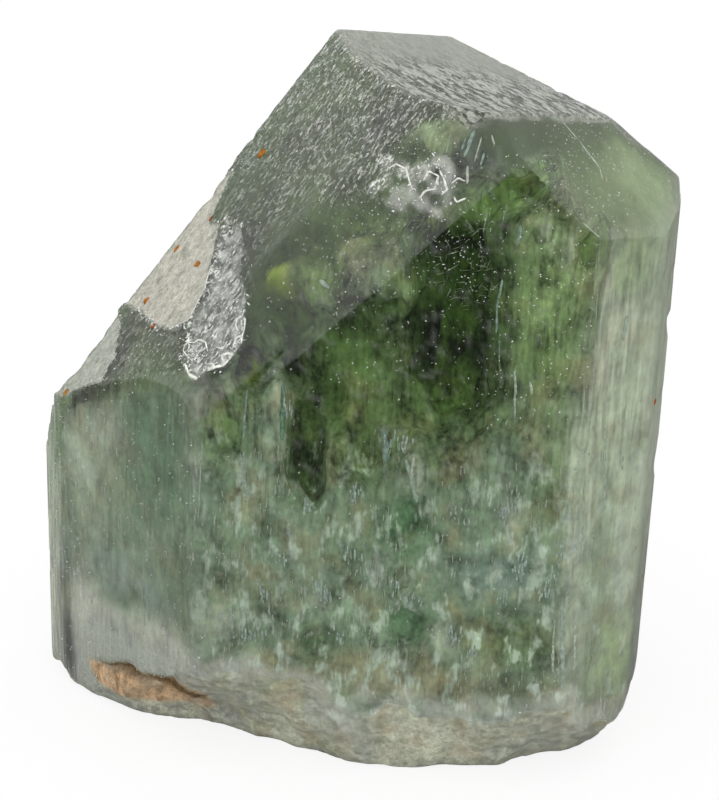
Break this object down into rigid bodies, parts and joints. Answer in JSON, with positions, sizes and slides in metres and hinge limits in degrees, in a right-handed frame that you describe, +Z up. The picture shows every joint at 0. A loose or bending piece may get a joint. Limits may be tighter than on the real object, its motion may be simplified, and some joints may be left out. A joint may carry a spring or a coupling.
{
  "type": "diopside crystal",
  "caption": "Stout green diopside crystal: an upright prism with a steep slope and a near-level top at its upper end, and a broken, flat-bottomed foot.",
  "frame": {"origin": "middle of the flat parting at the foot, on the surface that the crystal stands on", "axes": "+Z up along the prism's edges, -Y out of the broad front prism face (turned 3 degrees to the left), +X to the right, towards the tall side"},
  "size_m": [0.022, 0.017, 0.0248],
  "materials": {
    "crystal": "clear dark green gem zone behind the front face, milky grey-green elsewhere, etched matte slopes, iron stain at the foot"
  },
  "bodies": {
    "root": {"crystal": "crystal"}
  },
  "joints": []
}
